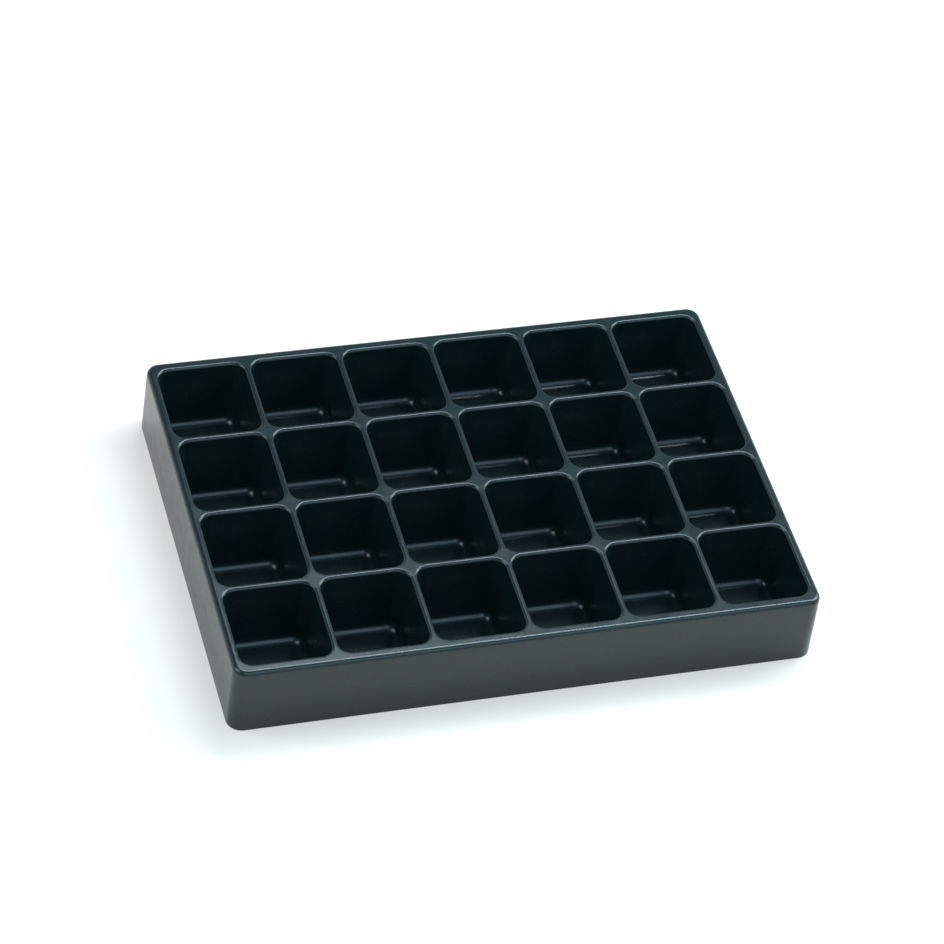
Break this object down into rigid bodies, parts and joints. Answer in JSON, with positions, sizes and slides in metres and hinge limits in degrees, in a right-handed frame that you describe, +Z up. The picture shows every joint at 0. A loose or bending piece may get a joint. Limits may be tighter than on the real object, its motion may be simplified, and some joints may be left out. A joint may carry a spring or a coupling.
{
  "type": "thermoformed plastic tray",
  "caption": "Rectangular vacuum-formed tray: a grid of deep rounded pockets between thin flat webs, with a sloping outer skirt that it stands on.",
  "frame": {"origin": "middle of the footprint, on the surface that the skirt's rim stands on", "axes": "+X along the long side, +Y along the short side, +Z up out of the pockets"},
  "size_m": [0.3388, 0.2444, 0.045],
  "materials": {
    "black_sheet": "satin black plastic sheet with a faint cool tint, smooth from forming"
  },
  "bodies": {
    "root": {"tray": "black_sheet"}
  },
  "joints": []
}
